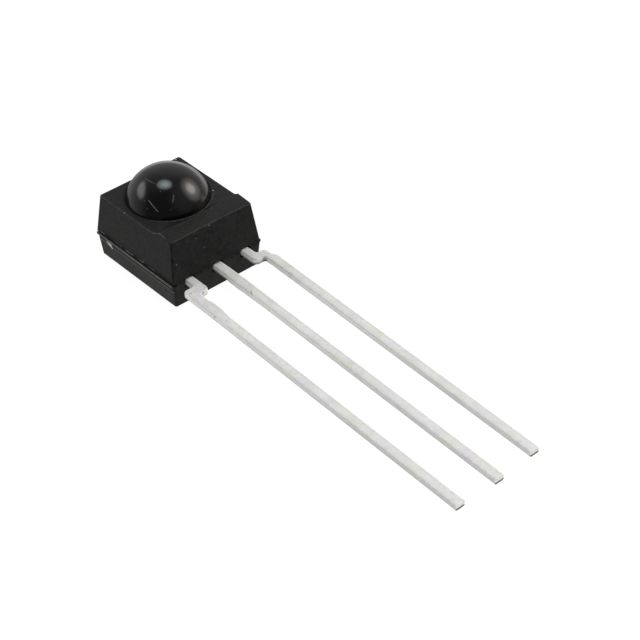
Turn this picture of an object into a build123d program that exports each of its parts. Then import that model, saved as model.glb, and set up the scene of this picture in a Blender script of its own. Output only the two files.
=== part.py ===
from build123d import *
import os
from math import asin, cos, degrees, radians, sin, sqrt, tan

# An infrared receiver module: two chips on a flat leadframe, moulded into one dark block with a dome lens.
# Millimetres. The origin is on the back face, under the lens axis. The module lies on its back face,
# the lens looks up along +Z and the leads run out along -Y.

os.makedirs("parts", exist_ok=True)

# Moulding, measured from the back face and from the lens axis
front_height = 3.80
seam_height = 1.48
lens_to_exit = 4.02
upper_overhang = 0.02
upper_draft = 6.5
lower_draft = 5.0
exit_step = 0.05
corner_radius = 0.12
face_edge_radius = 0.05
back_edge_radius = 0.04

# Lens: a cap of a sphere in a shallow ring-shaped recess, set in from the front face's sides and back
lens_side_border = 0.43
lens_back_border = 0.23
lens_height = 1.70
moat_width = 0.09
moat_depth = 0.06

# Land across the front face, nearest the leads, a little proud of the rest of the face
land_height = 0.12
land_ramp = 0.12
land_clearance = 0.12

# Side ridges, left where the two halves of the mould close, with a fine groove above and below each
ridge_stand_out = 0.11
ridge_rise = 0.05
ridge_wall = 0.12
ridge_slope = 0.05
ridge_inset = 0.04
ridge_rooting = 0.30
groove_width = 0.06
groove_depth = 0.07

# Recess round each lead where it leaves the moulding
recess_margin = 0.07
recess_depth = 0.08

# Leads
lead_pitch = 2.54
lead_width = 0.55
neck_width = 0.50
lead_thickness = 0.36
exposed_length = 20.73
supply_lead_trim = 0.20
jog_start = 0.61
jog_depth = 0.72
jog_outer_radius = 0.20
jog_inner_radius = 0.12
bend_gap = 0.32
bend_radius = 3.0
droop = 2.3
stub_gap = 0.35
stub_length = 0.90
stub_reach = 0.06
stub_ramp = 0.12

# Chips and the adhesive that holds them
diode_size = 1.50
amplifier_width = 1.20
amplifier_length = 0.95
chip_thickness = 0.28
chip_gap = 0.475
adhesive_thickness = 0.03
adhesive_margin = 0.05

# Leadframe inside the moulding: a pad under the chips and a bonding post on each side
pad_side_border = 0.40
pad_back_border = 0.25
pad_bond_room = 0.525
pad_corner_radius = 0.10
post_clearance = 0.28
post_width = 0.86
post_cover = 0.63
post_length = 1.25
post_inset = 0.92
post_corner_radius = 0.08

# Bond wires
wire_radius = 0.015
ball_radius = 0.04
ball_height = 0.02
wire_loop = 0.22
bond_inset = 0.15

# How far each cutting shape runs past what it cuts
cut_overrun = 0.20

# Worked-out places of the leadframe and the chips. The moulding is as wide as the leadframe in it and the
# epoxy over the posts.
lead_floor = seam_height - lead_thickness
lead_middle = seam_height - lead_thickness / 2
chip_floor = seam_height + adhesive_thickness
chip_top = chip_floor + chip_thickness
amplifier_y = -diode_size / 2 - chip_gap - amplifier_length / 2
pad_half_width = diode_size / 2 + pad_side_border
pad_back_y = diode_size / 2 + pad_back_border
pad_bond_end_y = amplifier_y - amplifier_length / 2 - adhesive_margin
pad_front_y = pad_bond_end_y - pad_bond_room
post_inner = pad_half_width + post_clearance
post_outer = post_inner + post_width
neck_x = post_inner + post_width / 2
seam_width = 2 * (post_outer + post_cover)
exit_y = -lens_to_exit
jog_end_y = exit_y - jog_start - jog_depth
bend_y = jog_end_y - bend_gap

# Worked-out sizes of the moulding
upper_drawn_in = (front_height - seam_height) * tan(radians(upper_draft))
upper_seam_width = seam_width + 2 * upper_overhang
lens_base_radius = upper_seam_width / 2 - upper_drawn_in - lens_side_border
lens_radius = (lens_base_radius**2 + lens_height**2) / (2 * lens_height)
lens_centre_z = front_height + lens_height - lens_radius
lens_foot_z = front_height - moat_depth
lens_foot_radius = sqrt(lens_radius**2 - (lens_foot_z - lens_centre_z) ** 2)
lens_foot_angle = degrees(asin((lens_foot_z - lens_centre_z) / lens_radius))
upper_front_y = exit_y + exit_step
upper_back_y = lens_base_radius + lens_back_border + upper_drawn_in
lower_back_y = upper_back_y - upper_overhang
upper_seam_length = upper_back_y - upper_front_y
lower_seam_length = lower_back_y - exit_y
upper_middle_y = (upper_front_y + upper_back_y) / 2
lower_middle_y = (exit_y + lower_back_y) / 2
land_top = front_height + land_height
ramp_foot_y = -lens_base_radius - moat_width - land_clearance
ramp_head_y = ramp_foot_y - land_ramp
recess_floor_y = upper_front_y + recess_depth

# Worked-out places of the ridges
ridge_top = seam_height + ridge_rise
ridge_bottom = ridge_top - ridge_wall
ridge_foot = ridge_bottom - ridge_slope
ridge_head = ridge_top + ridge_slope
ridge_reach_x = seam_width / 2 + ridge_stand_out
lower_side_x = seam_width / 2 - (seam_height - ridge_foot) * tan(radians(lower_draft))
upper_side_x = upper_seam_width / 2 - (ridge_head - seam_height) * tan(radians(upper_draft))
ridge_root_x = lower_side_x - ridge_rooting


# The straight run of a lead. The lead bends down by the droop just past its jog, so the run lies in a
# plane of its own, tilted about the lead's width. The stubs are what the cut-off tie bar left.
def lead_run(x, exposed):
    tilt = radians(droop)
    run_y = bend_y - bend_radius * sin(tilt)
    run_z = lead_middle - bend_radius * (1 - cos(tilt))
    run_plane = Plane(origin=(x, run_y, run_z), x_dir=(1, 0, 0), z_dir=(0, -sin(tilt), cos(tilt)))
    run_length = (exposed - (exit_y - run_y)) / cos(tilt)
    half = lead_width / 2
    stub_half = half + stub_reach
    stub_end = stub_gap + stub_length
    with BuildPart() as run:
        with BuildSketch(Plane(origin=(x, bend_y, lead_middle), x_dir=(1, 0, 0), z_dir=(0, -1, 0))):
            Rectangle(lead_width, lead_thickness)
        bend_axis = Axis((x, bend_y, lead_middle - bend_radius), (1, 0, 0))
        revolve(axis=bend_axis, revolution_arc=droop)
        with BuildSketch(run_plane):
            with BuildLine():
                edge = Polyline(
                    (0, 0),
                    (half, 0),
                    (half, -stub_gap),
                    (stub_half, -stub_gap - stub_ramp),
                    (stub_half, -stub_end + stub_ramp),
                    (half, -stub_end),
                    (half, -run_length),
                    (0, -run_length),
                )
                mirror(edge, about=Plane.YZ)
            make_face()
        extrude(amount=lead_thickness / 2, both=True)
    return run.part


# The flat part of a side lead: the bonding post inside the moulding, the neck, and the jog that carries
# the lead out to its pitch. side is -1 or 1.
def side_lead_outline(side):
    neck_inner = neck_x - neck_width / 2
    neck_outer = neck_x + neck_width / 2
    run_inner = lead_pitch - lead_width / 2
    run_outer = lead_pitch + lead_width / 2
    post_y = exit_y + post_inset
    # The jog's two roundings on one side share its width
    rounding = min(1, (run_inner - neck_inner) / (jog_inner_radius + jog_outer_radius))
    tight_radius = jog_inner_radius * rounding
    wide_radius = jog_outer_radius * rounding
    corners = [
        ((run_inner, bend_y), 0),
        ((run_inner, jog_end_y), tight_radius),
        ((neck_inner, jog_end_y), wide_radius),
        ((neck_inner, post_y), 0),
        ((post_inner, post_y), post_corner_radius),
        ((post_inner, post_y + post_length), post_corner_radius),
        ((post_outer, post_y + post_length), post_corner_radius),
        ((post_outer, post_y), post_corner_radius),
        ((neck_outer, post_y), 0),
        ((neck_outer, exit_y - jog_start), tight_radius),
        ((run_outer, exit_y - jog_start), wide_radius),
        ((run_outer, bend_y), 0),
    ]
    with BuildSketch() as outline:
        with BuildLine():
            FilletPolyline(
                [(side * x, y) for (x, y), _ in corners],
                radius=[r for _, r in corners],
                close=True,
            )
        make_face()
    return outline.sketch


# The runs and outlines that the leads are put together from
middle_run = lead_run(0, exposed_length)
left_run = lead_run(-lead_pitch, exposed_length)
right_run = lead_run(lead_pitch, exposed_length - supply_lead_trim)
left_outline = side_lead_outline(-1)
right_outline = side_lead_outline(1)

# Ground lead: the middle lead, in one piece with the pad that carries both chips
with BuildPart() as ground_lead:
    with BuildSketch(Plane.XY.offset(lead_floor)):
        with BuildLine():
            half_outline = FilletPolyline(
                (0, bend_y),
                (lead_width / 2, bend_y),
                (lead_width / 2, pad_front_y),
                (pad_half_width, pad_front_y),
                (pad_half_width, pad_back_y),
                (0, pad_back_y),
                radius=[0, 0, pad_corner_radius, pad_corner_radius],
            )
            mirror(half_outline, about=Plane.YZ)
        make_face()
    extrude(amount=lead_thickness)
    add(middle_run)
ground_lead.part.label = "ground_lead"

# Output lead, on the left with the lens towards the viewer and the leads down
with BuildPart() as output_lead:
    with BuildSketch(Plane.XY.offset(lead_floor)):
        add(left_outline)
    extrude(amount=lead_thickness)
    add(left_run)
output_lead.part.label = "output_lead"

# Supply lead, on the right
with BuildPart() as supply_lead:
    with BuildSketch(Plane.XY.offset(lead_floor)):
        add(right_outline)
    extrude(amount=lead_thickness)
    add(right_run)
supply_lead.part.label = "supply_lead"

# Photodiode chip, square, centred under the lens
with BuildPart() as photodiode_chip:
    with BuildSketch(Plane.XY.offset(chip_floor)):
        Rectangle(diode_size, diode_size)
    extrude(amount=chip_thickness)
photodiode_chip.part.label = "photodiode_chip"

# Amplifier chip, beside it towards the leads
with BuildPart() as amplifier_chip:
    with BuildSketch(Plane.XY.offset(chip_floor)):
        with Locations((0, amplifier_y)):
            Rectangle(amplifier_width, amplifier_length)
    extrude(amount=chip_thickness)
amplifier_chip.part.label = "amplifier_chip"

# Adhesive films, each a little larger than its chip
with BuildPart() as diode_adhesive:
    with BuildSketch(Plane.XY.offset(seam_height)):
        RectangleRounded(diode_size + 2 * adhesive_margin, diode_size + 2 * adhesive_margin, adhesive_margin)
    extrude(amount=adhesive_thickness)
diode_adhesive.part.label = "diode_adhesive"

with BuildPart() as amplifier_adhesive:
    with BuildSketch(Plane.XY.offset(seam_height)):
        with Locations((0, amplifier_y)):
            RectangleRounded(
                amplifier_width + 2 * adhesive_margin,
                amplifier_length + 2 * adhesive_margin,
                adhesive_margin,
            )
    extrude(amount=adhesive_thickness)
amplifier_adhesive.part.label = "amplifier_adhesive"


# A bond wire from one bond to another, each (x, y, height of its surface). The wire rises straight out of
# a small pressed disc, crosses over and comes down straight into the second disc.
def bond_wire(name, first, second):
    x1, y1, z1 = first
    x2, y2, z2 = second
    start_z = z1 + ball_height / 2
    end_z = z2 + ball_height / 2
    loop_z = chip_top + wire_loop
    far_loop_z = (loop_z + max(z1, z2)) / 2
    with BuildPart() as wire:
        with BuildLine() as path:
            Polyline(
                (x1, y1, start_z),
                (x1, y1, loop_z),
                (x2, y2, far_loop_z),
                (x2, y2, end_z),
            )
        with BuildSketch(Plane.XY.offset(start_z)):
            with Locations((x1, y1)):
                Circle(wire_radius)
        sweep(path=path.line, transition=Transition.RIGHT)
        for x, y, z in (first, second):
            with BuildSketch(Plane.XY.offset(z)):
                with Locations((x, y)):
                    Circle(ball_radius)
            extrude(amount=ball_height)
    wire.part.label = name
    return wire


amplifier_edge_x = amplifier_width / 2 - bond_inset
amplifier_back_y = amplifier_y + amplifier_length / 2 - bond_inset
amplifier_front_y = amplifier_y - amplifier_length / 2 + bond_inset
diode_front_y = -diode_size / 2 + bond_inset
post_bond_y = exit_y + post_inset + post_length / 2
pad_bond_y = (pad_front_y + pad_bond_end_y) / 2

diode_wire = bond_wire("diode_wire", (0, diode_front_y, chip_top), (0, amplifier_back_y, chip_top))
ground_wire = bond_wire("ground_wire", (0, amplifier_front_y, chip_top), (0, pad_bond_y, seam_height))
output_wire = bond_wire(
    "output_wire",
    (-amplifier_edge_x, amplifier_y, chip_top),
    (-neck_x, post_bond_y, seam_height),
)
supply_wire = bond_wire(
    "supply_wire",
    (amplifier_edge_x, amplifier_y, chip_top),
    (neck_x, post_bond_y, seam_height),
)


# Half of the moulding, from the seam up or, with a negative height, down. It is drawn in all round as it
# leaves the seam, and its four upright corners are rounded.
def drafted_half(width, length, middle_y, height, draft):
    with BuildPart() as half:
        with BuildSketch(Plane.XY.offset(seam_height)):
            with Locations((0, middle_y)):
                Rectangle(width, length)
        extrude(amount=height, taper=draft)
        fillet(edges().filter_by(lambda e: abs(e.tangent_at(0.5).Z) > 0.5), corner_radius)
    return half.part


# Moulding: the two drafted halves, the side ridges, the land and the lens are one casting, closed round
# everything above
inner_pieces = [
    ground_lead,
    output_lead,
    supply_lead,
    photodiode_chip,
    amplifier_chip,
    diode_adhesive,
    amplifier_adhesive,
    diode_wire,
    ground_wire,
    output_wire,
    supply_wire,
]
with BuildPart() as moulded_body:
    # Upper half, drawn in to the front face, then cut down behind the land and rounded round its rim
    add(drafted_half(upper_seam_width, upper_seam_length, upper_middle_y, land_top - seam_height, upper_draft))
    with BuildSketch(Plane.YZ):
        with BuildLine():
            Polyline(
                (ramp_head_y, land_top),
                (ramp_foot_y, front_height),
                (upper_back_y, front_height),
                (upper_back_y, land_top + cut_overrun),
                (ramp_head_y, land_top + cut_overrun),
                close=True,
            )
        make_face()
    extrude(amount=upper_seam_width / 2 + cut_overrun, both=True, mode=Mode.SUBTRACT)
    crossing_edges = edges().filter_by(Axis.X).filter_by(lambda e: e.center().Y < 0)
    rim_edges = edges().filter_by(lambda e: e.center().Z > front_height - land_height / 2)
    ramp_edges = crossing_edges.filter_by(lambda e: e.center().Y > ramp_head_y - land_height)
    fillet([e for e in rim_edges if e not in ramp_edges], face_edge_radius)

    # Lower half, drawn in to the back face
    add(drafted_half(seam_width, lower_seam_length, lower_middle_y, -seam_height, lower_draft))
    fillet(faces().sort_by(Axis.Z)[0].edges(), back_edge_radius)

    # Ridges along both long sides, and the fine grooves above and below each
    with BuildSketch(Plane.XZ.offset(-lower_middle_y)):
        with BuildLine():
            Polyline(
                (ridge_root_x, ridge_foot),
                (lower_side_x, ridge_foot),
                (ridge_reach_x, ridge_bottom),
                (ridge_reach_x, ridge_top),
                (upper_side_x, ridge_head),
                (ridge_root_x, ridge_head),
                close=True,
            )
        make_face()
        mirror(about=Plane.YZ)
    extrude(amount=lower_seam_length / 2 - ridge_inset, both=True)
    with BuildSketch(Plane.XZ.offset(-lower_middle_y)):
        for side_x, first_z, away in ((upper_side_x, ridge_head, 1), (lower_side_x, ridge_foot, -1)):
            with BuildLine():
                Polyline(
                    (ridge_reach_x, first_z),
                    (side_x, first_z),
                    (side_x - groove_depth, first_z + away * groove_width / 2),
                    (side_x, first_z + away * groove_width),
                    (ridge_reach_x, first_z + away * groove_width),
                    close=True,
                )
            make_face()
        mirror(about=Plane.YZ)
    extrude(amount=lower_seam_length / 2 + cut_overrun, both=True, mode=Mode.SUBTRACT)

    # Ring-shaped recess round the lens, then the lens itself
    with BuildSketch(Plane.XY.offset(front_height)):
        Circle(lens_base_radius + moat_width)
    extrude(amount=-moat_depth, mode=Mode.SUBTRACT)
    with BuildSketch(Plane.YZ):
        with BuildLine():
            Line((0, lens_foot_z), (0, front_height + lens_height))
            CenterArc((0, lens_centre_z), lens_radius, lens_foot_angle, 90 - lens_foot_angle)
            Line((lens_foot_radius, lens_foot_z), (0, lens_foot_z))
        make_face()
    revolve(axis=Axis.Z)

    # Shallow recess round each lead where it leaves the front end
    with BuildSketch(Plane.XZ.offset(-recess_floor_y)):
        for x, width in ((-neck_x, neck_width), (0, lead_width), (neck_x, neck_width)):
            with Locations((x, lead_middle)):
                RectangleRounded(width + 2 * recess_margin, lead_thickness + 2 * recess_margin, recess_margin)
    extrude(amount=recess_depth + exit_step + cut_overrun, mode=Mode.SUBTRACT)

    for piece in inner_pieces:
        add(piece.part, mode=Mode.SUBTRACT)
moulded_body.part.label = "moulded_body"

for piece in [moulded_body, *inner_pieces]:
    export_step(piece.part, f"parts/{piece.part.label}.step")
    print(piece.part.label, round(piece.part.volume, 4), piece.part.bounding_box())
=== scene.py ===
# %% [markdown]
# # Dressing an infrared receiver module
#
# The module is the small black eye behind the front panel of a television: two chips on a flat tinned
# leadframe, cast into one block of dark epoxy with a dome lens on its face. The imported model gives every
# piece at its real size. This script loads it, models finer versions of what shows, and gives each piece
# its finish.

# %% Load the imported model
import math

import bmesh
import bpy
from mathutils import Matrix, Vector


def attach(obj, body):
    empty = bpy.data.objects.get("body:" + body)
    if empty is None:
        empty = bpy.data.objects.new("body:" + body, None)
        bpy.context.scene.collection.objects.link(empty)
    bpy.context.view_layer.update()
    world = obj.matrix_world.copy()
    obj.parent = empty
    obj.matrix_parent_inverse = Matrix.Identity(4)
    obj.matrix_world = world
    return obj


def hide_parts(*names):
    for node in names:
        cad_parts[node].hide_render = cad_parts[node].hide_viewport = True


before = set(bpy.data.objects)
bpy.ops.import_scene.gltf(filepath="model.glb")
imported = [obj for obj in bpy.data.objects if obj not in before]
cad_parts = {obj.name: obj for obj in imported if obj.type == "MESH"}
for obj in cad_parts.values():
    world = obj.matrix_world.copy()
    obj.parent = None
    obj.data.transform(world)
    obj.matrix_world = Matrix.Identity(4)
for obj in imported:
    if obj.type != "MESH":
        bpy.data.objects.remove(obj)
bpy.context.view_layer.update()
print("nodes:", ", ".join(sorted(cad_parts)))

# %% [markdown]
# ## Camera
#
# The module is about as long as a paper clip, so the camera stands only ten centimetres away. Its angle, its
# roll and its lens were fitted to the corners and lead ends in the photograph, with the 2.54 mm between the
# leads as the scale. Turning a camera in three plain steps, roll, tilt and then heading, keeps each angle
# readable. At this distance the near clipping plane has to come closer than its default of 10 cm.

# %% Place the camera
MM = 0.001
heading = math.radians(-40.241)
tilt = math.radians(90 - 39.052)
roll = math.radians(-1.527)
camera_place = Vector((-47.551, -68.360, 62.267)) * MM

camera_data = bpy.data.cameras.new("camera")
camera_data.lens = 107.675
camera_data.sensor_width = 36
camera_data.clip_start = 0.005
camera_data.clip_end = 5
camera = bpy.data.objects.new("camera", camera_data)
camera.matrix_world = (
    Matrix.Translation(camera_place)
    @ Matrix.Rotation(heading, 4, "Z")
    @ Matrix.Rotation(tilt, 4, "X")
    @ Matrix.Rotation(roll, 4, "Z")
)
bpy.context.scene.collection.objects.link(camera)
bpy.context.scene.camera = camera
print("camera stands", round(camera_place.length / MM, 1), "mm from the origin")

# %% [markdown]
# ## Sizes
#
# Lengths are written in millimetres and scaled once, when a finished mesh becomes an object. Most are the
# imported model's own, so a finer piece lands where the plain one was. The small ones, such as those of the
# moat, the ridges and the land, were measured again in the photograph.

# %% Sizes of the moulding and the leads
front_height = 3.80
seam_height = 1.48
exit_y = -4.02
upper_width, upper_length, upper_draft = 5.88, 6.74, 6.5
lower_width, lower_length, lower_draft = 5.84, 6.74, 5.0
exit_step = 0.02
corner_radius, face_edge_radius, back_edge_radius = 0.12, 0.05, 0.04
lens_radius, lens_height = 2.379, 1.70
moat_width, moat_depth = 0.055, 0.03
land_height, land_ramp, land_clearance = 0.12, 0.12, 0.12
lead_pitch, neck_pitch = 2.54, 1.86
lead_width, neck_width, lead_thickness = 0.55, 0.50, 0.36

upper_front_y = exit_y + exit_step
upper_middle_y = upper_front_y + upper_length / 2
lower_middle_y = exit_y + lower_length / 2
lens_centre_z = front_height + lens_height - lens_radius
lens_edge = math.sqrt(lens_radius**2 - (front_height - lens_centre_z) ** 2)
lead_middle_z = seam_height - lead_thickness / 2
# Corners closer than same_place are one corner, and a cut goes through a corner nearer to it than cut_snap
same_place, cut_snap = 1e-4, 1e-5
print("lens edge radius", round(lens_edge, 3), "mm")

# %% [markdown]
# ## From a bmesh to a piece
#
# Every new piece goes through the same last steps. Its faces are turned outwards, it is scaled to metres, and
# soft edges are told from crisp ones by their angle. A Weighted Normal modifier then keeps the large faces
# flat while the narrow bevels between them carry the shading round the corner. The piece's object stays at
# the origin: its place is in its mesh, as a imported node's is.

# %% Finish a mesh and put it in place of its node
crisp_angle = math.radians(38)


def make_piece(name, shape, node):
    bmesh.ops.recalc_face_normals(shape, faces=shape.faces)
    bmesh.ops.scale(shape, vec=(MM, MM, MM), verts=shape.verts)
    mesh = bpy.data.meshes.new(name)
    shape.to_mesh(mesh)
    shape.free()
    for face in mesh.polygons:
        face.use_smooth = True
    mesh.set_sharp_from_angle(angle=crisp_angle)
    piece = bpy.data.objects.new(name, mesh)
    bpy.context.scene.collection.objects.link(piece)
    piece.modifiers.new("keep flats flat", "WEIGHTED_NORMAL").keep_sharp = True
    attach(piece, "root")
    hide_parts(node)
    print(name, "has", len(mesh.polygons), "faces")
    return piece


# %% [markdown]
# Three of bmesh's operators come back in every step: the bevel, the cut along a plane, and the extrusion of a
# flat face into a bar. Each one gets a short form here, the bevel with the values that the editor uses.


# %% Bevel, cut and pull
def soften(shape, geometry, width, segments=3, affect="EDGES"):
    bmesh.ops.bevel(
        shape,
        geom=geometry,
        offset=width,
        offset_type="OFFSET",
        segments=segments,
        profile=0.5,
        affect=affect,
        material=-1,
        clamp_overlap=True,
    )


def everything(shape):
    return shape.verts[:] + shape.edges[:] + shape.faces[:]


def cut_plane(shape, geometry, place, facing):
    bmesh.ops.bisect_plane(shape, geom=geometry, plane_co=place, plane_no=facing, dist=cut_snap)


def pull(shape, faces, along):
    pulled = bmesh.ops.extrude_face_region(shape, geom=faces)
    far_end = [g for g in pulled["geom"] if isinstance(g, bmesh.types.BMVert)]
    bmesh.ops.translate(shape, vec=along, verts=far_end)


# %% [markdown]
# ## The moulding's two halves
#
# Epoxy is squeezed into a two-part mould that closes on the leadframe. Each half is drawn in a little so that
# it leaves the mould, which gives the block its waist of two drafted boxes meeting at the seam. A cube with
# one end scaled in is that shape exactly.


# %% One drafted half
def drafted_half(width, length, middle_y, height, draft):
    half = bmesh.new()
    bmesh.ops.create_cube(half, size=1)
    drawn_in = 2 * abs(height) * math.tan(math.radians(draft))
    far = [v for v in half.verts if v.co.z > 0]
    bmesh.ops.scale(half, vec=(width, length, height), verts=half.verts)
    bmesh.ops.scale(half, vec=((width - drawn_in) / width, (length - drawn_in) / length, 1), verts=far)
    bmesh.ops.translate(half, vec=(0, middle_y, seam_height + height / 2), verts=half.verts)
    return half


upper = drafted_half(
    upper_width, upper_length, upper_middle_y, front_height + land_height - seam_height, upper_draft
)
lower = drafted_half(lower_width, lower_length, lower_middle_y, -seam_height, lower_draft)
print("upper half", len(upper.faces), "faces, lower half", len(lower.faces), "faces")

# %% [markdown]
# ## The land on the front face
#
# Across the end nearest the leads the front face stands a hair proud, and a short ramp takes it down to the
# level round the lens. Two cuts across the block make the edges of the ramp, and the corners behind the
# second cut then move down. They slide along the drafted sides, so those stay flat.

# %% Cut the ramp and lower the face behind it
land_top = front_height + land_height
ramp_foot_y = -lens_edge - moat_width - land_clearance
ramp_crest_y = ramp_foot_y - land_ramp
for cut_y in (ramp_crest_y, ramp_foot_y):
    cut_plane(upper, everything(upper), (0, cut_y, 0), (0, 1, 0))
lean = math.tan(math.radians(upper_draft))
slide = land_height * lean
for corner in upper.verts:
    if corner.co.z > land_top - same_place and corner.co.y > ramp_foot_y - same_place:
        corner.co.z -= land_height
        corner.co.x += math.copysign(slide, corner.co.x)
        if corner.co.y > ramp_foot_y + same_place:
            corner.co.y += slide
print("the land's ramp ends", round(-ramp_foot_y, 2), "mm from the lens axis")

# %% [markdown]
# The real land is not quite even. Its ramp is longest and highest at the left end, and the land falls a
# little towards the leads. Two short cuts across the land give it four columns of corners, and a small table
# moves each one: its foot along the block, its crest along and up, and its corner on the front rim up.

# %% Make the land uneven
columns = [-2.7, -1.2, 1.2, 2.7]
foot_shift = [0.31, 0.06, 0.06, 0.14]
crest_shift = [-0.11, -0.17, -0.15, -0.08]
crest_rise = [0.13, 0.10, 0.09, 0.09]
rim_rise = [0.06, 0.07, 0.07, 0.01]


def land_faces():
    above_face = front_height + land_height / 4
    return [f for f in upper.faces if f.calc_center_median().z > above_face]


for cut_x in columns[1:-1]:
    faces = land_faces()
    around = {e for f in faces for e in f.edges} | {v for f in faces for v in f.verts}
    cut_plane(upper, faces + list(around), (cut_x, 0, 0), (1, 0, 0))
for corner in {v for f in land_faces() for v in f.verts}:
    column = min(range(len(columns)), key=lambda k: abs(columns[k] - corner.co.x))
    rise = 0
    if corner.co.z < land_top - same_place:
        corner.co.y += foot_shift[column]
    elif corner.co.y > ramp_crest_y - same_place:
        corner.co.y += crest_shift[column]
        rise = crest_rise[column]
    else:
        rise = rim_rise[column]
        corner.co.y += rise * lean
    corner.co.z += rise
    if column in (0, len(columns) - 1):
        corner.co.x -= math.copysign(rise * lean, corner.co.x)
print("the land is up to", round(max(v.co.z for v in upper.verts) - front_height, 2), "mm high")

# %% [markdown]
# ## Rounded edges
#
# No moulded edge is a knife edge. The mould is cut with small radii, and they are what catches the light, so
# they matter more to the eye than their size suggests. The upright corners are rounded first, then the rims,
# so that the second bevel runs round the first.

# %% Round the corners and rims
# An edge is upright, and a face is level, from this share of its direction along z
upright_share, level_share = 0.9, 0.7
# The four corners are farther than this from the block's middle, and the ends of the land's edges aren't
corner_reach = 2.5


def upright_edges(half):
    return [e for e in half.edges if abs((e.verts[0].co - e.verts[1].co).normalized().z) > upright_share]


def rim_edges(half, outwards):
    def caps(face):
        return face.normal.z * outwards > level_share

    half.normal_update()
    shared = [e for e in half.edges if len(e.link_faces) == 2]
    return [e for e in shared if caps(e.link_faces[0]) != caps(e.link_faces[1])]


corner_uprights = [e for e in upright_edges(upper) if abs(e.verts[0].co.y - upper_middle_y) > corner_reach]
soften(upper, corner_uprights, corner_radius, segments=4)
soften(upper, rim_edges(upper, 1), face_edge_radius)
soften(lower, upright_edges(lower), corner_radius, segments=4)
soften(lower, rim_edges(lower, -1), back_edge_radius)
print("upper half", len(upper.faces), "faces, lower half", len(lower.faces), "faces")

# %% [markdown]
# ## The lens and its moat
#
# The lens is the cap of a ball, turned, so it is drawn as half a section and spun round the lens axis. The
# section starts at the lip of the moat, a narrow ring sunk round the lens, and ends at the pole. The flat
# face behind the land is taken out, and its outline and the moat's lip are filled with one new flat.

# %% Open the face, spin the lens and close the gap
flat_behind = max((f for f in upper.faces if f.normal.z > level_share), key=lambda f: f.calc_area())
bmesh.ops.delete(upper, geom=[flat_behind], context="FACES_ONLY")

moat_chamfer = 0.012
arc_steps, turn_steps = 40, 128
foot_z = front_height - moat_depth
foot_radius = math.sqrt(lens_radius**2 - (foot_z - lens_centre_z) ** 2)
foot_angle = math.asin((foot_z - lens_centre_z) / lens_radius)
section = [
    (lens_edge + moat_width + moat_chamfer, front_height),
    (lens_edge + moat_width, front_height - moat_chamfer),
    (lens_edge + moat_width, foot_z),
    (foot_radius, foot_z),
]
for step in range(1, arc_steps + 1):
    angle = foot_angle + (math.pi / 2 - foot_angle) * step / arc_steps
    section.append((lens_radius * math.cos(angle), lens_centre_z + lens_radius * math.sin(angle)))

points = [upper.verts.new((radius, 0, z)) for radius, z in section]
edges = [upper.edges.new(pair) for pair in zip(points, points[1:])]
bmesh.ops.spin(
    upper,
    geom=points + edges,
    cent=(0, 0, 0),
    axis=(0, 0, 1),
    dvec=(0, 0, 0),
    angle=2 * math.pi,
    steps=turn_steps,
    use_merge=True,
    use_duplicate=False,
)
bmesh.ops.remove_doubles(upper, verts=upper.verts, dist=same_place)
loose = [e for e in upper.edges if not e.link_faces]
bmesh.ops.delete(upper, geom=loose, context="EDGES")
open_edges = [e for e in upper.edges if e.is_boundary]
bmesh.ops.triangle_fill(upper, use_beauty=True, use_dissolve=False, edges=open_edges, normal=(0, 0, 1))
print("open edges left on the upper half:", sum(e.is_boundary for e in upper.edges))

# %% [markdown]
# ## Side ridges
#
# Where the halves of the mould close along the two long sides, the epoxy stands out as a fine ridge. Its
# section is a flat outer wall with a slope below, and behind its crest a sharp valley. One section is pulled
# along the block and mirrored for the far side.

# %% Pull the ridges along the sides
ridge_reach, ridge_top, ridge_bottom, ridge_foot = 3.03, 1.50, 1.375, 1.33
ridge_root, ridge_rounding, ridge_end_gap = 2.45, 0.025, 0.12
ridge_lip_x, ridge_lip_z = 2.97, ridge_top + 0.005
valley_x, valley_z = 2.88, 1.44
lower_side = lower_width / 2 - (seam_height - ridge_foot) * math.tan(math.radians(lower_draft))
ridge_length = lower_length - 2 * ridge_end_gap

ridges = bmesh.new()
ridge_section = [
    (ridge_root, ridge_foot),
    (lower_side, ridge_foot),
    (ridge_reach, ridge_bottom),
    (ridge_reach, ridge_top),
    (ridge_lip_x, ridge_lip_z),
    (valley_x, valley_z),
    (ridge_root, valley_z),
]
corners = [ridges.verts.new((x, lower_middle_y - ridge_length / 2, z)) for x, z in ridge_section]
pull(ridges, [ridges.faces.new(corners)], (0, ridge_length, 0))
bmesh.ops.recalc_face_normals(ridges, faces=ridges.faces)
crest = [e for e in ridges.edges if all(v.co.x > ridge_reach - same_place for v in e.verts)]
soften(ridges, crest, ridge_rounding, segments=2)
bmesh.ops.mirror(ridges, geom=everything(ridges), axis="X", merge_dist=-1)
print("two ridges,", len(ridges.faces), "faces")

# %% [markdown]
# ## Cutting the lead exits
#
# Round each lead the epoxy stands back a little. Behind each ridge runs its valley, with a hairline groove
# above and below, and at the front corner the ridge ends in a small notch. Such notches cross several faces
# at once, so they are cut with a Boolean modifier, whose result is read back as a new bmesh. The cutters are
# boxes and thin wedges. They overlap, and the modifier is told so, or it would leave out parts of the block.

# %% Cutters for the exits, the notches and the grooves
recess_margin, recess_depth = 0.09, 0.14
notch_inner_x, notch_outer_x, notch_depth = 2.72, 3.10, 0.09
notch_low_z, notch_high_z = 1.42, 1.53
before_block_y = exit_y - 0.2


def add_box(shape, low, high, rounding=0):
    made = bmesh.ops.create_cube(shape, size=1)
    size = [b - a for a, b in zip(low, high)]
    middle = [(a + b) / 2 for a, b in zip(low, high)]
    bmesh.ops.scale(shape, vec=size, verts=made["verts"])
    bmesh.ops.translate(shape, vec=middle, verts=made["verts"])
    if rounding:
        edges = {e for v in made["verts"] for e in v.link_edges}
        along_y = [e for e in edges if abs(e.verts[0].co.y - e.verts[1].co.y) > same_place]
        soften(shape, along_y, rounding)


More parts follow.
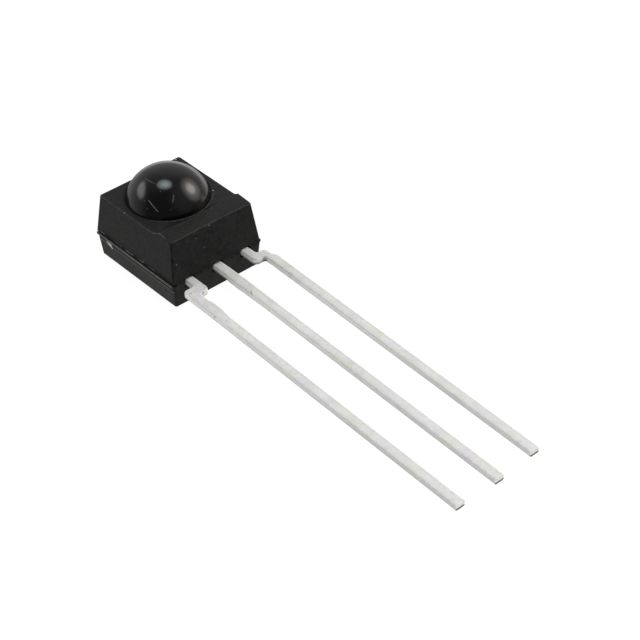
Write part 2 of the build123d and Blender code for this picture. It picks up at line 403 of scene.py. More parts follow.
cutters = bmesh.new()
reach_z = lead_thickness / 2 + recess_margin
for middle_x, width in ((-neck_pitch, neck_width), (0, lead_width), (neck_pitch, neck_width)):
    reach_x = width / 2 + recess_margin
    low = (middle_x - reach_x, before_block_y, lead_middle_z - reach_z)
    high = (middle_x + reach_x, upper_front_y + recess_depth, lead_middle_z + reach_z)
    add_box(cutters, low, high, rounding=recess_margin)
for side in (-1, 1):
    near_x, far_x = sorted((side * notch_inner_x, side * notch_outer_x))
    add_box(cutters, (near_x, before_block_y, notch_low_z), (far_x, exit_y + notch_depth, notch_high_z))

# The section of each groove is a triangle with its floor in the middle of the list
valley = [(2.96, valley_z), (valley_x, valley_z), (2.94, 1.54)]
upper_groove = [(2.95, 1.655), (2.87, 1.70), (2.95, 1.745)]
lower_groove = [(2.92, 1.105), (2.82, 1.15), (2.92, 1.195)]
grooves = [valley, upper_groove, lower_groove]
grooves += [[(-x, z) for x, z in groove] for groove in grooves]
for groove in grooves:
    wedge = [cutters.verts.new((x, lower_middle_y - lower_length, z)) for x, z in groove]
    pull(cutters, [cutters.faces.new(wedge)], (0, 2 * lower_length, 0))
bmesh.ops.recalc_face_normals(cutters, faces=cutters.faces)
print("cutters have", len(cutters.faces), "faces")


# %% Cut one shape with another
def as_object(name, shape):
    mesh = bpy.data.meshes.new(name)
    shape.to_mesh(mesh)
    made = bpy.data.objects.new(name, mesh)
    bpy.context.scene.collection.objects.link(made)
    return made


def cut_away(shape, cutter):
    body, tool = as_object("shape being cut", shape), as_object("cutter", cutter)
    cut = body.modifiers.new("cut", "BOOLEAN")
    cut.operation = "DIFFERENCE"
    cut.solver = "EXACT"
    cut.use_self = True
    cut.object = tool
    result = bmesh.new()
    result.from_object(body, bpy.context.evaluated_depsgraph_get())
    for spent in (body, tool):
        bpy.data.objects.remove(spent)
    return result


bmesh.ops.recalc_face_normals(upper, faces=upper.faces)
bmesh.ops.recalc_face_normals(lower, faces=lower.faces)
upper_cut = cut_away(upper, cutters)
lower_cut = cut_away(lower, cutters)
print("upper half", len(upper_cut.faces), "faces, lower half", len(lower_cut.faces), "faces")

# %% [markdown]
# ## One moulding
#
# The halves and the ridges are one casting, so they become one mesh and one piece. The lens keeps a material
# of its own: the mould is polished there and matt everywhere else.

# %% Join the halves and ridges
moulding = bmesh.new()
for part in (upper_cut, lower_cut, ridges):
    carrier = bpy.data.meshes.new("carrier")
    part.to_mesh(carrier)
    moulding.from_mesh(carrier)
    bpy.data.meshes.remove(carrier)
    part.free()
for spare in (upper, lower, cutters):
    spare.free()
for face in moulding.faces:
    middle = face.calc_center_median()
    inside_moat = math.hypot(middle.x, middle.y) < lens_edge + moat_width / 2
    face.material_index = 1 if inside_moat and middle.z > foot_z + same_place else 0
moulded_block = make_piece("moulded_block", moulding, "moulded_body")

# %% [markdown]
# ## The leads
#
# The leads are stamped from one strip, tinned, and cut apart at the end. A stamped outline is a polygon with
# some corners rounded, pulled up to the strip's thickness. Where the bars that joined the leads were cut off,
# a low shoulder stays on one side. The tin softens every edge but those of the sheared end, so the others get
# a small bevel. The run beyond the jog hangs down by a little over two degrees. That bend is made with a few
# cuts across the lead, each followed by a small turn of everything beyond it.

# %% Sizes of a lead
buried_length, exposed_length, supply_trim = 0.6, 20.73, 0.20
jog_start, jog_depth, supply_jog_trim = 0.61, 0.72, 0.18
hollow_corner, outer_corner, inner_corner = 0.14, 0.22, 0.28
droop, bend_gap, bend_steps, bend_length = math.radians(2.3), 0.32, 4, 0.12
tin_rounding, sheared_reach, edge_angle = 0.065, 0.05, math.radians(60)

inside_y = exit_y + buried_length
tip_y = exit_y - exposed_length
supply_tip_y = tip_y + supply_trim
jog_start_y = exit_y - jog_start
jog_end_y = jog_start_y - jog_depth
supply_jog_end_y = jog_end_y + supply_jog_trim
bend_y = jog_end_y - bend_gap
print("leads run to", round(tip_y, 2), "mm")


# %% Stamp, bend and soften a lead
def stamp(outline, roundings):
    lead = bmesh.new()
    corners = [lead.verts.new((x, y, seam_height - lead_thickness)) for x, y in outline]
    lead.faces.new(corners)
    for index, radius in roundings.items():
        soften(lead, [corners[index]], radius, segments=5, affect="VERTICES")
    pull(lead, lead.faces[:], (0, 0, lead_thickness))
    bmesh.ops.recalc_face_normals(lead, faces=lead.faces)
    return lead


def bend_down(lead):
    cut_z = lead_middle_z
    for step in range(bend_steps):
        cut_y = bend_y - bend_length * step / bend_steps
        cut_plane(lead, everything(lead), (0, cut_y, 0), (0, 1, 0))
        beyond = [v for v in lead.verts if v.co.y < cut_y - same_place]
        turn = Matrix.Rotation(droop / bend_steps, 3, "X")
        bmesh.ops.rotate(lead, cent=(0, cut_y, cut_z), matrix=turn, verts=beyond)
        cut_z -= bend_length / bend_steps * math.sin(droop * step / bend_steps)


def tin_edges(lead):
    lead.normal_update()
    sheared_y = min(v.co.y for v in lead.verts) + sheared_reach
    edges = [e for e in lead.edges if len(e.link_faces) == 2 and e.calc_face_angle() > edge_angle]
    soften(lead, [e for e in edges if max(v.co.y for v in e.verts) > sheared_y], tin_rounding)


# %% [markdown]
# An outer lead is drawn from its outer side round the tip to its inner side. Shoulders are short lists of
# corners, each with its reach beyond the lead's side and its place along the lead.


# %% Outlines of the outer and the middle leads
def finished_lead(name, outline, roundings):
    lead = stamp(outline, roundings)
    bend_down(lead)
    tin_edges(lead)
    return make_piece(name + "_tinned", lead, name)


def side_lead(name, side, end_y, step_y, outer_marks, inner_marks):
    neck_in, neck_out = neck_pitch - neck_width / 2, neck_pitch + neck_width / 2
    run_in, run_out = lead_pitch - lead_width / 2, lead_pitch + lead_width / 2
    outline = [(neck_out, inside_y), (neck_out, jog_start_y)]
    outline += [(run_out + reach, y) for reach, y in outer_marks]
    outline += [(run_out, end_y), (run_in, end_y)]
    outline += [(run_in - reach, y) for reach, y in inner_marks]
    outline += [(run_in, step_y), (neck_in, step_y), (neck_in, inside_y)]
    step = len(outline) - 3
    roundings = {1: hollow_corner, 2: outer_corner, step: hollow_corner, step + 1: inner_corner}
    return finished_lead(name, [(side * x, y) for x, y in outline], roundings)


def middle_lead(name, end_y, marks):
    half = lead_width / 2
    outline = [(half, inside_y), (half, end_y), (-half, end_y)]
    outline += [(-half - reach, y) for reach, y in marks]
    return finished_lead(name, outline + [(-half, inside_y)], {})


# %% Make the three leads
output_outer = [(0, jog_start_y)]
output_inner = [(0, -7.90), (0.06, -7.15), (0.09, -7.00), (0.08, -6.28), (0, -6.10)]
ground_left = [(0, -8.10), (0.02, -7.10), (0.03, -6.40), (0.06, -6.05), (0.04, -5.45), (0, -5.05)]
supply_outer = [(-0.17, jog_start_y), (-0.14, -5.26), (0, -5.50)]
output_lead = side_lead("output_lead", -1, tip_y, jog_end_y, output_outer, output_inner)
ground_lead = middle_lead("ground_lead", tip_y, ground_left)
supply_lead = side_lead("supply_lead", 1, supply_tip_y, supply_jog_end_y, supply_outer, [])
leads = [output_lead, ground_lead, supply_lead]

# %% [markdown]
# ## Building finishes
#
# A finish is a small network of shader nodes. Written as sums and products it stays readable: one class wraps
# a node's output, and an expression on such values adds its Math nodes. A second class makes every other kind
# of node from its type, its settings and what goes into its sockets. The room's light is such a network too.


# %% Arithmetic on shader values
class Value:
    def __init__(self, network, socket):
        self.network = network
        self.socket = socket

    def __add__(self, other):
        return self.network.maths("ADD", self, other)

    def __radd__(self, other):
        return self.network.maths("ADD", other, self)

    def __sub__(self, other):
        return self.network.maths("SUBTRACT", self, other)

    def __rsub__(self, other):
        return self.network.maths("SUBTRACT", other, self)

    def __mul__(self, other):
        return self.network.maths("MULTIPLY", self, other)

    def __rmul__(self, other):
        return self.network.maths("MULTIPLY", other, self)

    def __abs__(self):
        return self.network.maths("ABSOLUTE", self, 0.0)

    def __lt__(self, other):
        return self.network.maths("LESS_THAN", self, other)

    def __gt__(self, other):
        return self.network.maths("GREATER_THAN", self, other)


# %% One network of nodes
class Network:
    def __init__(self, owner, place):
        owner.use_nodes = True
        self.nodes = owner.node_tree.nodes
        self.links = owner.node_tree.links
        self.nodes.clear()
        self.place = self.node("ShaderNodeTexCoord", {}, {}, place)

    def node(self, kind, settings, inputs, output=0):
        made = self.nodes.new(kind)
        for key, value in settings.items():
            setattr(made, key, value)
        for key, value in inputs.items():
            if isinstance(value, Value):
                self.links.new(value.socket, made.inputs[key])
            else:
                made.inputs[key].default_value = value
        return Value(self, made.outputs[output])

    def maths(self, operation, first, second, clamp=False):
        settings = {"operation": operation, "use_clamp": clamp}
        return self.node("ShaderNodeMath", settings, {0: first, 1: second})

    def vectors(self, operation, first, second, output="Vector"):
        return self.node("ShaderNodeVectorMath", {"operation": operation}, {0: first, 1: second}, output)

    def dot(self, first, second):
        return self.vectors("DOT_PRODUCT", first, second, "Value")

    def coordinate(self, index):
        return self.node("ShaderNodeSeparateXYZ", {}, {0: self.place}, index)

    def channel(self, colour):
        return self.node("ShaderNodeSeparateColor", {}, {0: colour}, 0)

    def noise(self, scale, detail=3.0, roughness=0.5, stretch=(1, 1, 1)):
        place = self.node("ShaderNodeMapping", {}, {"Vector": self.place, "Scale": stretch})
        inputs = {"Vector": place, "Scale": scale, "Detail": detail, "Roughness": roughness}
        return self.node("ShaderNodeTexNoise", {}, inputs)

    def cells(self, scale, output, distance="EUCLIDEAN", randomness=1.0):
        inputs = {"Vector": self.place, "Scale": scale, "Randomness": randomness}
        return self.node("ShaderNodeTexVoronoi", {"distance": distance}, inputs, output)

    # What was low becomes to_low, what was high becomes to_high, and nothing goes beyond them
    def range(self, value, low, high, to_low=0.0, to_high=1.0, shape="LINEAR"):
        settings = {"clamp": True, "interpolation_type": shape}
        inputs = {"Value": value, "From Min": low, "From Max": high, "To Min": to_low, "To Max": to_high}
        return self.node("ShaderNodeMapRange", settings, inputs)


# %% [markdown]
# Marks are painted with masks: values that are 1 on the mark and 0 away from it. The next class makes them in
# a few shapes, all measured in millimetres, and mixes colours by them.


# %% Masks and layers of colour
class Painting(Network):
    # 0 where the value is at the start, 1 where it is at the end
    def fade(self, value, start, end):
        return self.range(value, start * MM, end * MM)

    # 1 within the core of a middle value, 0 past the reach
    def band(self, value, middle, reach, core):
        return self.fade(abs(value - middle * MM), reach, core)

    def gap(self, point):
        return self.vectors("DISTANCE", self.place, [c * MM for c in point], "Value")

    # A round spot
    def near(self, point, radius):
        return self.fade(self.gap(point), radius, 0.4 * radius)

    # A straight stroke: the gap is measured to the nearest point between its ends
    def stroke(self, start, end, half_width):
        first = Vector(start) * MM
        along = Vector(end) * MM - first
        offset = self.vectors("SUBTRACT", self.place, first)
        share = self.maths("MULTIPLY", self.dot(offset, along), 1 / along.length_squared, clamp=True)
        foot = self.node("ShaderNodeVectorMath", {"operation": "SCALE"}, {0: along, "Scale": share})
        return self.fade(self.vectors("DISTANCE", offset, foot, "Value"), half_width, 0.3 * half_width)

    # A line of strokes
    def thread(self, points, half_width):
        return sum(self.stroke(first, second, half_width) for first, second in zip(points, points[1:]))

    def most(self, first, *others):
        for other in others:
            first = self.maths("MAXIMUM", first, other, clamp=True)
        return first

    def blend(self, amount, first, second):
        first, second = (c if isinstance(c, Value) else (*c, 1) for c in (first, second))
        return self.node("ShaderNodeMix", {"data_type": "RGBA"}, {0: amount, 6: first, 7: second}, output=2)

    # Cover a colour with one layer after another, each by its own amount
    def paint(self, shade, layers):
        for amount, colour in layers:
            shade = self.blend(amount, shade, colour)
        return shade


# %% One finish
class Finish(Painting):
    def __init__(self, name):
        self.material = bpy.data.materials.new(name)
        super().__init__(self.material, "Object")

    # The bump's distance is in millimetres too
    def finish(self, sockets, height=None, bump_distance=0.0, bump_strength=1.0):
        if height is not None:
            bump = {"Strength": bump_strength, "Distance": bump_distance * MM, "Height": height}
            sockets["Normal"] = self.node("ShaderNodeBump", {}, bump)
        shader = self.node("ShaderNodeBsdfPrincipled", {}, sockets)
        surface = self.nodes.new("ShaderNodeOutputMaterial")
        self.links.new(shader.socket, surface.inputs["Surface"])
        print("finish", self.material.name, "has", len(self.nodes), "nodes")
        return self.material


# %% [markdown]
# ## Matt epoxy
#
# Moulding compound is near black, but never evenly so. The mould's spark-eroded face leaves a grain of about
# a tenth of a millimetre, the colour clouds a little, and a few specks of dust and flash catch the light. The
# ridge crests are rubbed pale by handling. Thin painted highlights along the rims, the moat's lip and the
# groove lips, and painted shade in the lower grooves, draw the block's edges. Each kind of mark is a mask of
# its own, and the colour is painted with them in layers.

# %% Dust and a scuff
dust_specks = [
    ((-2.65, 0.27, 3.78), 0.05),
    ((2.02, -1.30, 3.80), 0.06),
    ((2.35, 2.36, 3.80), 0.07),
    ((-0.18, -3.70, 3.90), 0.05),
    ((-1.11, -3.735, 3.54), 0.045),
    ((-0.675, -3.82, 2.80), 0.045),
    ((-2.54, -3.84, 2.64), 0.05),
    ((-2.92, -1.39, 1.64), 0.055),
    ((-2.91, 1.33, 1.42), 0.05),
    ((-2.88, 2.38, 1.04), 0.04),
]
scuff_body = ((-2.90, 1.84, 1.26), (-2.88, 1.66, 1.10), 0.20)
scuff_tail = ((-2.89, 1.64, 1.15), (-2.875, 1.50, 0.92), 0.08)


def dust_and_scuff(epoxy):
    dust = sum(epoxy.near(point, radius) for point, radius in dust_specks)
    ragged = epoxy.range(epoxy.noise(6000, detail=2), 0.28, 0.44)
    scuff = epoxy.stroke(*scuff_body) * ragged * 1.2 + epoxy.stroke(*scuff_tail)
    return epoxy.most(dust * 0.6, scuff)


# %% [markdown]
# Along each side the ridge's outer wall is rubbed. The groove above it gets a broken painted highlight on its
# lip, and the groove below it gets painted shade, with a painted highlight on the lip under it.


# %% Wear and painted light along the side ridges
def ridge_wear_and_painted_light(epoxy, mottle):
    side_reach, level = abs(epoxy.coordinate(0)), epoxy.coordinate(2)
    on_side, in_groove = side_reach > 2.84 * MM, side_reach > 2.80 * MM
    rubbed = epoxy.fade(side_reach, 2.945, 3.005) * epoxy.range(mottle, 0.30, 0.55, 0.6, 1.0)
    broken = epoxy.range(epoxy.noise(2600, detail=2, stretch=(1, 0.5, 1)), 0.48, 0.60)
    # Painted highlights on the groove lips, and painted shade in the lower groove
    upper_lip_highlight = epoxy.band(level, 1.60, 0.050, 0.022) * broken * on_side
    lower_lip_highlight = epoxy.band(level, 1.02, 0.060, 0.025) * 0.62 * on_side
    groove_shade = epoxy.band(level, 1.14, 0.055, 0.030) * in_groove
    return rubbed, upper_lip_highlight, lower_lip_highlight, groove_shade


# %% Painted highlights along the rims
# Each painted rim highlight has its strength, its half width and its corners
rim_highlight_strokes = [
    (0.42, 0.050, [(-2.66, 2.55, 3.80), (-2.66, -2.15, 3.80)]),
    (0.38, 0.050, [(-2.62, -3.70, 3.98), (-1.20, -3.71, 3.99), (1.20, -3.71, 3.99), (2.62, -3.72, 3.93)]),
    (0.26, 0.045, [(-2.63, -2.69, 4.05), (-1.20, -2.75, 4.02), (1.20, -2.73, 4.01)]),
    (0.80, 0.055, [(-2.65, -2.15, 3.80), (-2.63, -2.69, 4.05), (-2.63, -3.20, 4.02)]),
]


def rim_highlights(epoxy):
    rims = [epoxy.thread(points, half_width) * strength for strength, half_width, points in rim_highlight_strokes]
    # A painted highlight on the moat's lip, towards the leads
    moat_lip_highlight = epoxy.band(epoxy.gap((0, 0, front_height)), 2.37, 0.070, 0.030)
    on_face = epoxy.coordinate(2) > 3.75 * MM
    towards_leads = epoxy.fade(epoxy.coordinate(1), -0.8, -1.6)
    return epoxy.most(*rims, moat_lip_highlight * on_face * towards_leads * 0.42)


# %% Make the matt epoxy
def matt_epoxy():
    epoxy = Finish("matt_epoxy")
    cloud = epoxy.noise(900, detail=4, roughness=0.6)
    mottle = epoxy.noise(4200, detail=2, roughness=0.6)
    grain = epoxy.noise(13000, detail=3, roughness=0.65)
    tint = epoxy.noise(2300, detail=1)
    across, along, level = (epoxy.coordinate(index) for index in range(3))
    rubbed, upper_lip_highlight, lower_lip_highlight, groove_shade = ridge_wear_and_painted_light(epoxy, mottle)
    # Painted highlights on the rims and the moat's lip, broken up by the mottle
    rims = rim_highlights(epoxy) * epoxy.range(mottle, 0.35, 0.60, 0.4, 1.0)
    # Painted light: the front face grows lighter towards its right
    front_right_light = epoxy.fade(along, -3.60, -3.72) * epoxy.fade(across, 0.0, 2.8) * (level > 1.5 * MM)
    lower_half = epoxy.fade(level, 1.45, 1.30)
    # Flecks of painted highlight on the upper groove lips
    lip_highlight_flecks = upper_lip_highlight * epoxy.range(grain, 0.50, 0.62) * 0.38
    front_of_ridge = rubbed * epoxy.fade(along, 1.6, -2.4) * 0.07
    # Dust, the scuff and rubbed ridge ends, with flecks of painted highlight
    pale = epoxy.most(dust_and_scuff(epoxy), lip_highlight_flecks, front_of_ridge)
    uneven = epoxy.range(cloud * 0.2 + mottle * 0.3 + grain * 0.5, 0.40, 0.60)
    shade = epoxy.blend(uneven, (0.0002, 0.0002, 0.0003), (0.0200, 0.0196, 0.0185))
    purple, green = (0.0110, 0.0070, 0.0150), (0.0090, 0.0110, 0.0050)
    lighter, worn_and_highlight, chalky_and_highlight = (0.050, 0.049, 0.046), (0.095, 0.095, 0.088), (0.56, 0.55, 0.48)
    layers = [
        (epoxy.range(tint, 0.50, 0.62) * 0.5, purple),
        (epoxy.range(tint, 0.50, 0.38) * 0.5, green),
        # Painted light on the right of the front face
        (front_right_light * 0.14, lighter),
        (lower_half * 0.28, lighter),
        # Painted shade in the groove below each ridge
        (groove_shade * 0.8, (0.001, 0.001, 0.001)),
        # Rubbed crests, and painted highlights on the groove lips and the rims
        (epoxy.most(rubbed, upper_lip_highlight * 0.9 + lower_lip_highlight, rims), worn_and_highlight),
        # Dust, scuff and rubbed ridge ends, with flecks of painted highlight
        (pale, chalky_and_highlight),
    ]
    dullness = epoxy.range(cloud, 0.3, 0.7, 0.47, 0.57) + epoxy.range(grain, 0.35, 0.65) * 0.10
    return epoxy.finish(
        {"Base Color": epoxy.paint(shade, layers), "Roughness": dullness, "Specular IOR Level": 0.27},
        grain * 0.6 + mottle * 0.8 + pale * 0.5,
        bump_distance=0.030,
        bump_strength=0.7,
    )


# %% [markdown]
# ## Polished lens
#
# The lens comes out of the polished part of the mould. It is dark because the epoxy lets only infrared
# through, so what one sees is the studio mirrored in it. Fine haze, dust and three short fibres lie on it,
# and a faint pale streak near its front rim is a painted highlight. They are drawn as seen from above, and
# on_lens lifts each of their points to the dome.


# %% Marks on the lens
def on_lens(x, y):
    return (x, y, lens_centre_z + math.sqrt(lens_radius**2 - x**2 - y**2))


# Each fibre has its strength, its half width and its points; the last one is a painted highlight along the
# front rim
lens_fibres_and_rim_highlight = [
    (0.60, 0.024, [(-1.095, 0.366), (-1.098, 0.050), (-1.077, -0.259)]),
    (1.00, 0.028, [(-1.708, -0.687), (-1.705, -0.900), (-1.683, -1.119), (-1.640, -1.326)]),
    (0.50, 0.040, [(-0.664, -1.476), (-0.871, -1.630)]),
    (0.16, 0.060, [(0.756, -2.055), (1.007, -1.914), (1.244, -1.724), (1.434, -1.525)]),
]
lens_specks = [(-1.032, -0.364), (-1.828, -0.467), (-1.916, -0.804), (-1.089, -0.925), (-1.118, -1.736)]
lens_specks += [(1.189, -0.801), (1.302, -0.876), (1.128, -1.419), (1.170, -1.536)]
speck_radius = 0.045


def lens_marks(lens):
    # The fibres, and a painted highlight along the lens's front rim
    fibres_and_rim_highlight = sum(
        lens.thread([on_lens(x, y) for x, y in points], half_width) * strength
        for strength, half_width, points in lens_fibres_and_rim_highlight
    )
    specks = sum(lens.near(on_lens(x, y), speck_radius) for x, y in lens_specks)
    dust_scale = 2200.0
    few_cells = lens.channel(lens.cells(dust_scale, "Color")) > 0.72
    dust = few_cells * lens.range(lens.cells(dust_scale, "Distance"), 0.075, 0.03)
    return lens.most(dust * 0.25, fibres_and_rim_highlight * 0.60, specks * 0.20)


# %% Make the polished lens
def polished_lens():
    lens = Finish("polished_lens")
    marks = lens_marks(lens)
    haze = lens.range(lens.noise(700, detail=3), 0.3, 0.7, 0.10, 0.14)
    shade = lens.blend(marks, (0.0022, 0.0020, 0.0022), (0.34, 0.31, 0.27))
    return lens.finish(
        {"Base Color": shade, "Roughness": haze + marks * 0.5},
        lens.noise(5000, detail=2) + marks * 0.6,
        bump_distance=0.004,
        bump_strength=0.25,
    )


# %% [markdown]
# ## Tin
#
# Hot-dipped or plated tin is a soft, whitish metal. It clouds where it was handled, shows the rolling
# direction of the strip under it as faint lines along the lead, and keeps small dents and scrapes. At the
# sheared end only the upper part is tinned: the lower part is torn and shows the dull strip. Glints on some
# edges are painted highlights, and the side walls and lowest edges get painted highlight and shade.

# %% Marks on the leads
# Each glint is a painted highlight with its half width and its points, each round mark has its middle and its
# radius
glints = [
    (0.045, [(-2.80, -7.78, 1.385), (-2.80, -8.25, 1.365)]),
    (0.040, [(-2.80, -12.62, 1.19), (-2.80, -12.95, 1.175)]),
    (0.045, [(-1.63, -4.55, 1.47), (-1.64, -5.12, 1.47)]),
    (0.060, [(0.23, -4.10, 1.48), (0.23, -5.60, 1.48)]),
    (0.060, [(2.05, -4.05, 1.48), (2.07, -4.55, 1.48), (2.45, -4.70, 1.48)]),
]
brown_stain, pale_stain = ((-2.06, -5.35, 1.38), 0.14), ((2.24, -7.20, 1.36), 0.25)
round_dimple, edge_scrape = ((-2.64, -5.05, 1.48), 0.09), ((-2.815, -7.22, 1.31), 0.10)
shadow_spot = ((2.20, -5.20, 1.30), 0.20)
long_scrape = ((-0.15, -6.92, 1.43), (-0.33, -7.16, 1.42), 0.05)


def lead_marks(metal):
    stain = metal.near(*brown_stain) + metal.near(*pale_stain) * 0.4
    scrape = metal.stroke(*long_scrape) + metal.near(*edge_scrape)
    glint = sum(metal.thread(points, half_width) for half_width, points in glints)
    return stain, metal.near(*round_dimple), scrape, glint


# %% [markdown]
# Tones change with the height on the strip, so the droop of the run is taken out of the height first. The
# necks get painted shade below, where they face the block, and the end is bright above its torn part.

# %% Zones of a lead
past_tip_y = -25
top_edge, side_wall, low_edge, underside = 1.45, 1.38, 1.25, 1.17


def height_on_strip(metal, along):
    drop = (bend_y - past_tip_y) * math.tan(droop) * MM
    return metal.coordinate(2) + metal.range(along, bend_y * MM, past_tip_y * MM, 0.0, drop)


def shaded_necks(metal, across, along, level):
    under_neck = metal.fade(level, 1.33, 1.18) * metal.fade(along, -5.7, -5.1)
    return under_neck * (across > -1.0 * MM) + metal.near(*shadow_spot) * 0.6


def cut_end(metal, across, along, level):
    from_supply_tip = along + (across < 1.0 * MM) * (supply_trim * MM)
    end = metal.fade(from_supply_tip, supply_tip_y + 0.09, supply_tip_y + 0.03)
    return end * (level > low_edge * MM), end * (level < low_edge * MM)


# %% Make the tin
def tin():
    metal = Finish("tin")
    cloud = metal.noise(1300, detail=3, roughness=0.6)
    tint = metal.noise(1700, detail=1)
    rolled = metal.noise(9000, detail=3, stretch=(1, 0.06, 1))
    mottle = metal.noise(8500, detail=4, roughness=0.7)
    stain, dimple, scrape, glint = lead_marks(metal)
    across, along = metal.coordinate(0), metal.coordinate(1)
    level = height_on_strip(metal, along)
    shaded = shaded_necks(metal, across, along, level)
    sheared, torn = cut_end(metal, across, along, level)
    reach = abs(across)
    off_middle = metal.maths("MINIMUM", reach, abs(reach - lead_pitch * MM))
    clouded = metal.range(cloud, 0.35, 0.60, 0.2, 1.0)
    streak = metal.fade(off_middle, 0.17, 0.06) * (level > top_edge * MM) * clouded
    far = metal.fade(along, -9.0, -18.0)
    # Painted light on the side walls: shade on the far run, a highlight band nearer the block, shade along
    # the lowest edge
    wall = metal.fade(level, top_edge, side_wall)
    wall_band_highlight = wall * metal.fade(level, underside, low_edge) * (1 - far)
    low_edge_shade = metal.fade(level, low_edge, underside)
    bright_ends = metal.most(metal.fade(along, -14.0, -24.0) * 0.8, metal.fade(along, -6.3, -5.2) * 0.75)
    shade = metal.blend(metal.range(cloud, 0.35, 0.65), (0.79, 0.79, 0.76), (0.92, 0.92, 0.895))
    layers = [
        (bright_ends, (0.94, 0.94, 0.92)),
        (metal.range(tint, 0.52, 0.62) * 0.6, (0.85, 0.80, 0.89)),
        (metal.range(tint, 0.48, 0.38) * 0.6, (0.84, 0.86, 0.75)),
        (metal.range(mottle, 0.50, 0.66) * (0.5 - far * 0.35), (0.58, 0.58, 0.54)),
        # Painted shade on the side walls of the far run
        (wall * far * 0.5, (0.60, 0.60, 0.57)),
        # Streaks along the tops, and a painted highlight band on the side walls
        (metal.most(streak, wall_band_highlight) * 0.45, (0.96, 0.96, 0.95)),
        # Painted shade along the lowest edge
        (low_edge_shade * 0.6, (0.42, 0.40, 0.37)),
        # Painted shade under the necks and in the supply lead's inner corner
        (shaded * 0.85, (0.12, 0.085, 0.060)),
        (stain * 0.6, (0.40, 0.36, 0.24)),
        (metal.most(dimple, scrape) * 0.6, (0.28, 0.29, 0.34)),
        # Painted highlights for the glints, and the bright sheared face
        (metal.most(glint, sheared), (0.99, 0.99, 0.98)),
        (torn, (0.19, 0.175, 0.16)),
    ]
    dullness = metal.range(rolled, 0.3, 0.7, 0.42, 0.56)
    return metal.finish(
        {"Base Color": metal.paint(shade, layers), "Metallic": 0.12, "Roughness": dullness},
        rolled * 0.4 + mottle * 0.5 - dimple * 0.7 - scrape * 0.5,
        bump_distance=0.022,
        bump_strength=0.6,
    )


# %% [markdown]
# ## What lies inside
#
# The chips, their adhesive and the bond wires can't be seen through the dark epoxy, but anyone who opens the
# model up will look at them. Silicon is a blue-grey mirror, and an integrated circuit is divided into blocks
# of wiring. The adhesive is epoxy full of silver flakes, and the wires are gold.


# %% Make the inner finishes
def silicon(name, block_size, block_tone):
    chip = Finish(name)
    blocks = chip.cells(1 / (block_size * MM), "Color", distance="CHEBYCHEV", randomness=0.7)
    tone = chip.channel(blocks)
    lines = chip.noise(60000, detail=1, stretch=(1, 0.1, 1))
    shade = chip.blend(tone, (0.05, 0.06, 0.10), block_tone)
    return chip.finish(
        {"Base Color": shade, "Metallic": 0.6, "Roughness": chip.range(lines, 0.3, 0.7, 0.16, 0.28)},
        tone,
        bump_distance=0.002,
        bump_strength=0.4,
    )


def silver_adhesive():
    glue = Finish("silver_adhesive")
    flakes = glue.noise(40000, detail=3, roughness=0.7)
    shade = glue.blend(glue.range(flakes, 0.4, 0.6), (0.35, 0.34, 0.32), (0.72, 0.71, 0.68))
    return glue.finish(
        {"Base Color": shade, "Metallic": 0.5, "Roughness": glue.range(flakes, 0.3, 0.7, 0.35, 0.6)},
        flakes,
        bump_distance=0.005,
        bump_strength=0.6,
    )


def gold():
    wire = Finish("gold_wire")
    drawn = wire.noise(70000, detail=2)
    shade = wire.blend(drawn, (0.95, 0.66, 0.26), (0.98, 0.76, 0.38))
    return wire.finish(
        {"Base Color": shade, "Metallic": 1.0, "Roughness": wire.range(drawn, 0.3, 0.7, 0.18, 0.3)},
        drawn,
        bump_distance=0.001,
        bump_strength=0.5,
    )


# %% Put each finish on its pieces
moulded_block.data.materials.append(matt_epoxy())
moulded_block.data.materials.append(polished_lens())
tinned = tin()
for lead in leads:
    lead.data.materials.append(tinned)

adhesive, wire = silver_adhesive(), gold()
inner_finishes = {
    "photodiode_chip": silicon("photodiode_silicon", 0.9, (0.09, 0.11, 0.20)),
    "amplifier_chip": silicon("amplifier_silicon", 0.12, (0.22, 0.20, 0.24)),
    "diode_adhesive": adhesive,
    "amplifier_adhesive": adhesive,
    "diode_wire": wire,
    "ground_wire": wire,
    "output_wire": wire,
    "supply_wire": wire,
}
for node, material in inner_finishes.items():
    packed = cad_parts[node]
    packed.data.materials.clear()
    packed.data.materials.append(material)
print("dressed", len(inner_finishes), "packed nodes and", len(leads) + 1, "new pieces")

# %% [markdown]
# ## Floor
#
# The photograph has no floor to see: the module lies on pure white. A broad sheet with a light of its own
# stands in for it, a hair below the module. The lens and the tin mirror the dim room and not this white, so
# glossy rays pass it by.

# %% Lay the floor
floor_reach, floor_gap = 0.6, 0.00002
sheet = bmesh.new()
bmesh.ops.create_grid(sheet, x_segments=1, y_segments=1, size=floor_reach)
bmesh.ops.translate(sheet, vec=(0, 0, -floor_gap), verts=sheet.verts)
floor_mesh = bpy.data.meshes.new("floor")
sheet.to_mesh(floor_mesh)
sheet.free()
floor = bpy.data.objects.new("floor", floor_mesh)
bpy.context.scene.collection.objects.link(floor)
floor.visible_glossy = False
paper = Finish("paper")
fibre = paper.noise(2500, detail=3)
floor_mesh.materials.append(
    paper.finish(
        {
            "Base Color": paper.blend(fibre, (0.14, 0.14, 0.14), (0.16, 0.16, 0.16)),
            "Roughness": 0.9,
            "Specular IOR Level": 0.1,
            "Emission Color": (1, 1, 1, 1),
            "Emission Strength": 0.93,
        }
    )
)

# %% [markdown]
# ## Light
#
# The lens is a small round mirror, so its highlights tell where the lamps stood: one broad lamp almost
# overhead, a bright warm one low on the right in front, and a wide one low on the left behind. The lamps were
# soft boxes, bright in the middle and faint at the rim, so each one is a soft oval glow in the room's own
# light, and two faint low ones are white boards. Wide, weak washes stand for the walls: the room is pale
# behind and dark on the camera's side. All angles are in degrees: a heading from +Y towards +X, and a height
# above the floor.

# %% Shapes of light
room = bpy.data.worlds.new("room")
bpy.context.scene.world = room
air = Network(room, "Generated")


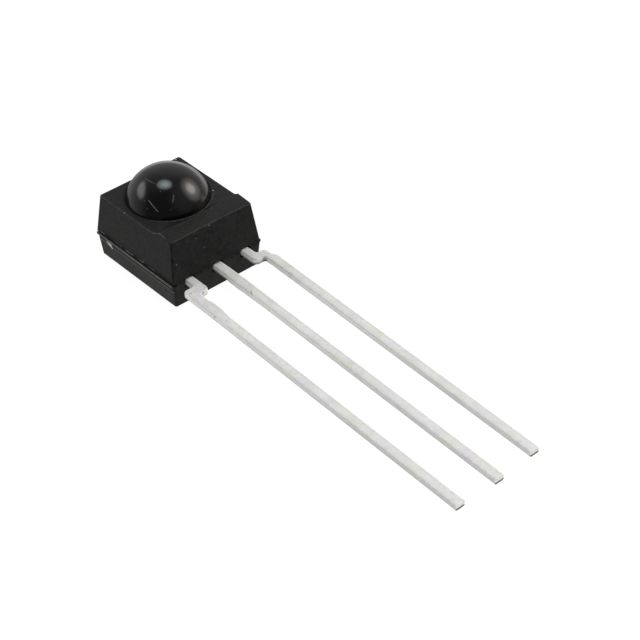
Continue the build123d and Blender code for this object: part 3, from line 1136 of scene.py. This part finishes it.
def direction(heading, height):
    turn, rise = math.radians(heading), math.radians(height)
    return Vector((math.sin(turn) * math.cos(rise), math.cos(turn) * math.cos(rise), math.sin(rise)))


def shine(colour, strength):
    return air.node("ShaderNodeBackground", {}, {"Color": (*colour, 1), "Strength": strength})


def glow(heading, height, wide, tall, brightness, colour, edge):
    ahead, aside = direction(heading, height), direction(heading + 90, 0)
    across = air.dot(air.place, aside / math.sin(math.radians(wide / 2)))
    along = air.dot(air.place, aside.cross(ahead) / math.sin(math.radians(tall / 2)))
    inside = air.range(across * across + along * along, 1 + edge, 1 - edge, shape="SMOOTHSTEP")
    return shine(colour, inside * (air.dot(air.place, ahead) > 0) * brightness)


# A wall is a wash of light that fades evenly all round its middle
def wash(heading, height, reach, brightness, colour):
    faded = math.cos(math.radians(reach))
    share = air.range(air.dot(air.place, direction(heading, height)), faded, 1, shape="SMOOTHSTEP")
    return shine(colour, share * brightness)


# %% Light the room
overhead_lamp = [
    glow(-38, 84, 27, 33, 2.7, (0.88, 0.97, 1.0), edge=0.4),
    glow(-38, 86, 15, 19, 2.6, (0.90, 0.99, 1.0), edge=0.9),
]
warm_lamp = [
    glow(118, 35, 23, 23, 4.4, (1.0, 0.95, 0.86), edge=0.9),
    glow(118, 33, 47, 47, 1.6, (1.0, 0.93, 0.90), edge=0.6),
]
rear_lamp = [glow(-36, 28, 37, 21, 2.2, (0.93, 0.95, 1.0), edge=0.7)]
reflectors = [
    glow(112, -1, 14, 10, 0.7, (1.0, 0.92, 0.92), edge=0.8),
    glow(50, -8, 70, 20, 0.65, (1.0, 0.99, 0.97), edge=0.9),
]
walls = [
    wash(35, 12, 115, 0.30, (1.0, 0.98, 0.97)),
    wash(45, 30, 45, 0.20, (1.0, 0.98, 0.97)),
    wash(-38, 0, 55, 0.25, (0.98, 0.98, 1.0)),
    wash(103, 5, 45, 0.16, (1.0, 0.97, 0.94)),
    wash(160, 40, 45, 0.20, (1.0, 0.97, 0.95)),
    wash(-50, -55, 65, 0.25, (1.0, 0.99, 0.98)),
]
light = shine((0.98, 0.99, 1), 0.12)
for lamp in overhead_lamp + warm_lamp + rear_lamp + reflectors + walls:
    light = air.node("ShaderNodeAddShader", {}, {0: light, 1: lamp})
output = air.nodes.new("ShaderNodeOutputWorld")
air.links.new(light.socket, output.inputs["Surface"])
bpy.context.scene.view_settings.view_transform = "Standard"
print("the room's light has", len(air.nodes), "nodes")
